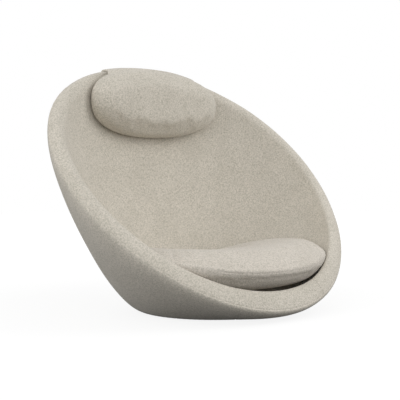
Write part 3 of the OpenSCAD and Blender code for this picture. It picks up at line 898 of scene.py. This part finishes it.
def free_of_lining(points):
    """The head cushion may swell over its front, not round its edge."""
    return smooth(*FREE_BEFORE, HEAD_SEAM_Y - points[:, 0] ** 2 / (2 * HEAD_R) - points[:, 1])


# How deep and how wide the cushions' seams are
SEAT_SEAM_DEPTH = 0.0005
SEAT_SEAM_WIDTH = 0.0020
HEAD_SEAM_DEPTH = 0.0014
HEAD_SEAM_WIDTH = 0.0026

seat, seat_seam = seat_form()
swell(seat, seat_seam, free_of_bowl)
sew(seat, seat_seam, SEAT_SEAM_DEPTH, SEAT_SEAM_WIDTH, wrinkled)
finish_piece(seat, COVER_SEAT, "cover_seat", "seat_cushion",
             "seat_cushion_foam", "seat_cushion_top", "seat_cushion_base")
head, head_seam = head_form()
swell(head, head_seam, free_of_lining)
sew(head, head_seam, HEAD_SEAM_DEPTH, HEAD_SEAM_WIDTH)
finish_piece(head, COVER, "cover", "head_cushion",
             "head_cushion_filling", "head_cushion_front", "head_cushion_back")


# Flap: from the head cushion's front crown over the roll and down behind the rim.
# It starts at shares of the cushion's height, where it is wider than on the rim,
# humps between the cushion and the rim, and lands on the roll.
FLAP_STARTS = (0.50, 0.66, 0.80, 0.92)
FLAP_FLARE = 0.25
FLAP_HUMP = 0.0065
FLAP_LEAP = ((0.38, 1.0), (0.74, 0.7))
FLAP_LAND = 1.3
FLAP_OVER = (1.15, 1.0, 0.94)
FLAP_SAMPLES = 7
FLAP_COLUMNS = 61
FLAP_ROWS = 30
# It thins towards its start, and follows the cushion there with its edges tucked in
FLAP_THIN = 0.0015
THIN_TO = (0.03, 0.07)
LAID_TO = (0.055, 0.085)
TUCK = 0.0008
LAID_RISE = 0.0012
RISE_FROM_START = 0.02
RISE_FROM_SIDE = 0.012
# How nearly its two sides meet at a side edge
EDGE_SHUT = 0.98
# Unevenness of its wadding
QUILT = 0.0005
QUILT_PACE = 1.6
QUILT_FROM_SIDE = 0.02
QUILT_FROM_START = (0.04, 0.08)


def curve_through(points, samples):
    """Catmull-Rom curve through points, sampled evenly along each stretch."""
    p = np.concatenate([2 * points[:1] - points[1:2], points, 2 * points[-1:] - points[-2:-1]])
    out = []
    for i in range(1, len(p) - 2):
        t = np.linspace(0, 1, samples + 1)[:-1, None]
        a, b, c, d = p[i - 1], p[i], p[i + 1], p[i + 2]
        out.append(0.5 * (2 * b + (c - a) * t + (2 * a - 5 * b + 4 * c - d) * t**2
                          + (3 * b - a - 3 * c + d) * t**3))
    out.append(points[-1:])
    return np.concatenate(out)


def head_front_at(x, k):
    """A point of the head cushion's front, at a share k of the height of its top there."""
    across = abs(2 * x / HEAD_W) ** OUTLINE
    z = k * HEAD_L / 2 * (1 - across) ** (1 / OUTLINE)
    share = (across + abs(2 * z / HEAD_L) ** OUTLINE) ** (1 / OUTLINE)
    return np.array([x, float(head_depth(x, share, -HEAD_FRONT)), HEAD_Z + z])


def over_wall(a, u, off):
    return skin(a, u) + off * skin_out(a, u)


def flap_leave(a, off):
    """Where the flap leaves the wall to hang plumb."""
    return over_wall(a, FOAM_TOP, off) + FLAP_STAND * np.array([math.cos(a), math.sin(a), 0.0])


def flap_end(a, off):
    end = flap_leave(a, off) * np.array([1.0, 1.0, 0.0])
    return end + (skin(a, FOAM_TOP)[2] - FLAP_DROP) * Z


def flap_front_line(a):
    """The flap's upper side from the cushion's crown over the rim, at an angle of the pod."""
    off = FLAP_GAP + FLAP_T
    lands = over_wall(a, FLAP_LAND, off)
    wide = (1 + FLAP_FLARE) * lands[0]
    starts = [head_front_at(wide, k) for k in FLAP_STARTS]
    leap = lands - starts[-1]
    free = [starts[-1] + way_on * leap + hump * FLAP_HUMP * Z for way_on, hump in FLAP_LEAP]
    over = [over_wall(a, u, off) for u in FLAP_OVER]
    return curve_through(np.array(starts + free + [lands] + over + [flap_leave(a, off)]), FLAP_SAMPLES)


def side_distance(lines):
    """Distance of each point of the flap to the nearer of its two side edges."""
    from_side = run_lengths(lines, 0)
    return np.minimum(from_side, from_side[-1:] - from_side)


def laid_on(lines, piece):
    """The flap's start follows the cushion's own surface: tucked in at its edges, free further up."""
    tree = BVHTree.FromPolygons([v.co for v in piece.data.vertices],
                                [p.vertices for p in piece.data.polygons])
    from_start = run_lengths(lines, 1)
    inside = smooth(0.0, RISE_FROM_START, from_start) * smooth(0.0, RISE_FROM_SIDE, side_distance(lines))
    rise = LAID_RISE * inside - TUCK
    share = 1 - smooth(*LAID_TO, from_start)
    laid = lines.copy()
    for i, j in zip(*np.nonzero(share > 0)):
        spot, normal, _, _ = tree.find_nearest(Vector(lines[i, j]))
        there = np.array(spot) + rise[i, j] * np.array(normal)
        laid[i, j] += share[i, j] * (there - lines[i, j])
    return laid


def edge_round(distance, radius):
    """How full a padded edge is at a distance from it, from 0 to 1."""
    d = np.clip(distance, 0, radius)
    return np.sqrt(np.maximum(0, 2 * d * radius - d * d)) / radius


def line_normals(lines):
    across = np.gradient(lines, axis=0)
    along = np.gradient(lines, axis=1)
    return unit(np.cross(across, along))


def flap_panel(name, lines, thickness):
    """A padded sheet under its upper side, thin along its two side edges."""
    normals = line_normals(lines)
    from_side = side_distance(lines)
    full = edge_round(from_side, FLAP_T / 2)
    padded = smooth(0, QUILT_FROM_SIDE, from_side) * smooth(*QUILT_FROM_START, run_lengths(lines, 1))
    quilt = QUILT * waves(lines, QUILT_PACE) * padded
    drawn_in = (1 - full) * thickness / 2
    upper = lines - col(drawn_in + quilt) * normals
    lower = lines - col(thickness - EDGE_SHUT * drawn_in) * normals
    return cloth_solid(name, upper, lower)


def flap_forms(cushion):
    """The flap's two parts: from the cushion over the rim, and plumb behind it."""
    angles = spread(math.pi / 2 + FLAP_HALF, math.pi / 2 - FLAP_HALF, FLAP_COLUMNS, ("start", "end"))
    front = laid_on(np.array([flap_front_line(float(a)) for a in angles]), cushion)
    front_t = FLAP_THIN + (FLAP_T - FLAP_THIN) * smooth(*THIN_TO, run_lengths(front, 1))
    off = FLAP_GAP + FLAP_T
    down = np.linspace(0, 1, FLAP_ROWS)[:, None]
    back = np.array([flap_leave(float(a), off) * (1 - down) + flap_end(float(a), off) * down
                     for a in angles])
    return (flap_panel("flap_front_form", front, front_t),
            flap_panel("flap_back_form", back, np.full(back.shape[:2], FLAP_T)))


flap_front, flap_back = flap_forms(head)
finish_piece(flap_front, COVER, "cover", None, "head_flap")
finish_piece(flap_back, COVER, "cover", None, "head_flap")


def hem_mid(a):
    """The middle of the hem pocket's section at an angle."""
    out = np.array([math.cos(a), math.sin(a), 0.0])
    return flap_end(a, FLAP_GAP) + HEM_T / 2 * out - (CLEAR + HEM_H / 2) * Z


# Where the weights lie, in panels from the middle; how far the pocket is closed at its ends
# and over what angle; and how it draws in between the weights, in panels from the nearest
HEM_WEIGHTS = (-1.5, -0.5, 0.5, 1.5)
HEM_CLOSED = 0.12
HEM_CLOSES_OVER = math.radians(3.0)
HEM_PINCH = 0.10
HEM_PINCH_AT = (0.3, 0.5)
HEM_COLUMNS = 121
HEM_AROUND = 48


def hem_fullness(a):
    """How thick the pocket is at an angle, as a share of its full thickness."""
    from_end = FLAP_HALF - abs(a - math.pi / 2)
    full = HEM_CLOSED + (1 - HEM_CLOSED) * float(np.clip(from_end / HEM_CLOSES_OVER, 0, 1)) ** 0.5
    steps = (a - math.pi / 2) / MAIN_STEP
    between = min(abs(steps - w) for w in HEM_WEIGHTS)
    return full - HEM_PINCH * float(smooth(*HEM_PINCH_AT, between)) * full


def hem_form():
    """The closed pocket round the weights, drawn in at its sewn ends and between the weights."""
    turns = turns_of(HEM_AROUND)
    rings = []
    for a in np.linspace(math.pi / 2 - FLAP_HALF, math.pi / 2 + FLAP_HALF, HEM_COLUMNS):
        full = hem_fullness(a)
        out = np.array([math.cos(a), math.sin(a), 0.0])
        lean = (HEM_T - FLAP_T) / 2 * np.maximum(0, np.sin(turns)) ** 4
        side = HEM_T / 2 * full * np.cos(turns) - lean * full - (1 - full) * (HEM_T - FLAP_T) / 2
        rings.append(hem_mid(float(a)) + col(side) * out + col(HEM_H / 2 * np.sin(turns)) * Z)
    rings = np.array(rings)
    return shell_of_rings("hem_pocket_form", rings, rings[0].mean(0), rings[-1].mean(0))


hem = hem_form()
finish_piece(hem, COVER, "cover", "counterweight", "hem_pocket")

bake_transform(flap_front)
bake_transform(flap_back)


# Floor, lights and camera. The floor glows for the camera alone, white at a distance,
# and a little for the chair, as a pale floor would.
FLOOR_HALF = 6.0
FLOOR_FADE = (0.6, 2.6)
FLOOR_ALBEDO = 0.15
FLOOR_GLOW = 0.87
FLOOR_BOUNCE = 0.04


def floor_fade(tree):
    """The floor's glow, which rises to white away from the chair."""
    where = tree.nodes.new("ShaderNodeTexCoord")
    reach = add(tree, "ShaderNodeVectorMath", operation="LENGTH")
    tree.links.new(where.outputs["Object"], reach.inputs[0])
    fade = add(tree, "ShaderNodeMapRange")
    near, far = FLOOR_FADE
    for socket, value in (("From Min", near), ("From Max", far), ("To Min", FLOOR_GLOW), ("To Max", 1.0)):
        fade.inputs[socket].default_value = value
    tree.links.new(reach.outputs["Value"], fade.inputs["Value"])
    return fade.outputs[0]


def floor():
    mesh = bpy.data.meshes.new("floor")
    half = FLOOR_HALF
    corners = [(-half, -half, 0), (half, -half, 0), (half, half, 0), (-half, half, 0)]
    mesh.from_pydata(corners, [], [(0, 1, 2, 3)])
    piece = bpy.data.objects.new("floor", mesh)
    bpy.context.scene.collection.objects.link(piece)
    material, tree, shader = nodes_of("floor")
    shader.inputs["Base Color"].default_value = (*[FLOOR_ALBEDO] * 3, 1)
    shader.inputs["Roughness"].default_value = 0.9
    shader.inputs["Specular IOR Level"].default_value = 0.0
    glow = add(tree, "ShaderNodeEmission", Color=(1, 1, 1, 1))
    tree.links.new(floor_fade(tree), glow.inputs["Strength"])
    bounce = add(tree, "ShaderNodeEmission", Color=(1, 1, 1, 1), Strength=FLOOR_BOUNCE)
    path = tree.nodes.new("ShaderNodeLightPath")
    only = tree.nodes.new("ShaderNodeMixShader")
    both = tree.nodes.new("ShaderNodeAddShader")
    tree.links.new(path.outputs["Is Camera Ray"], only.inputs[0])
    tree.links.new(bounce.outputs[0], only.inputs[1])
    tree.links.new(glow.outputs[0], only.inputs[2])
    tree.links.new(shader.outputs[0], both.inputs[0])
    tree.links.new(only.outputs[0], both.inputs[1])
    tree.links.new(both.outputs[0], tree.nodes["Material Output"].inputs["Surface"])
    mesh.materials.append(material)


WORLD_LIGHT = 0.61


def world():
    """White for the camera and a soft even light for the chair."""
    made = bpy.data.worlds.new("studio")
    made.use_nodes = True
    tree = made.node_tree
    tree.nodes.clear()
    out = tree.nodes.new("ShaderNodeOutputWorld")
    seen = add(tree, "ShaderNodeBackground", Color=(1, 1, 1, 1), Strength=1.0)
    light = add(tree, "ShaderNodeBackground", Color=(1, 1, 1, 1), Strength=WORLD_LIGHT)
    path = tree.nodes.new("ShaderNodeLightPath")
    mix = tree.nodes.new("ShaderNodeMixShader")
    tree.links.new(path.outputs["Is Camera Ray"], mix.inputs[0])
    tree.links.new(light.outputs[0], mix.inputs[1])
    tree.links.new(seen.outputs[0], mix.inputs[2])
    tree.links.new(mix.outputs[0], out.inputs[0])
    bpy.context.scene.world = made


def area(name, place, size, power):
    lamp = bpy.data.lights.new(name, "AREA")
    lamp.shape = "RECTANGLE"
    lamp.size = size[0]
    lamp.size_y = size[1]
    lamp.energy = power
    obj = bpy.data.objects.new(name, lamp)
    obj.location = place
    obj.rotation_euler = (Vector(POD_MIDDLE) - Vector(place)).to_track_quat("-Z", "Y").to_euler()
    bpy.context.scene.collection.objects.link(obj)


# Each lamp's place, size and power; all point at the middle of the pod
POD_MIDDLE = (0.0, 0.0, 0.35)
LAMPS = {
    "front": ((-1.7, -2.1, 1.7), (2.4, 2.0), 16.0),
    "right": ((1.9, -1.7, 1.5), (1.6, 2.0), 32.0),
    "left": ((-3.0, 0.3, 1.2), (2.0, 2.0), 30.0),
}

CAMERA_TURN = math.radians(-41.7534)
CAMERA_AIM = Vector((0.0, 0.0124, 0.3626))
CAMERA_DISTANCE = 2.4
# The fitted focal length and centre in pixels of the photograph's square frame
PHOTO_SIDE = 400
SENSOR = 36
FOCAL = 857.8 / PHOTO_SIDE * SENSOR
CENTRE_X = 207.04
CENTRE_Y = 178.89


def camera():
    back = Vector((math.sin(CAMERA_TURN), -math.cos(CAMERA_TURN), 0.0))
    data = bpy.data.cameras.new("camera")
    data.sensor_width = SENSOR
    data.lens = FOCAL
    data.shift_x = 0.5 - CENTRE_X / PHOTO_SIDE
    data.shift_y = CENTRE_Y / PHOTO_SIDE - 0.5
    obj = bpy.data.objects.new("camera", data)
    obj.location = CAMERA_AIM + CAMERA_DISTANCE * back
    obj.rotation_euler = (-back).to_track_quat("-Z", "Y").to_euler()
    bpy.context.scene.collection.objects.link(obj)
    bpy.context.scene.camera = obj


floor()
world()
for lamp_name, (place, size, power) in LAMPS.items():
    area(lamp_name, place, size, power)
camera()

bpy.context.scene.view_settings.view_transform = "Standard"
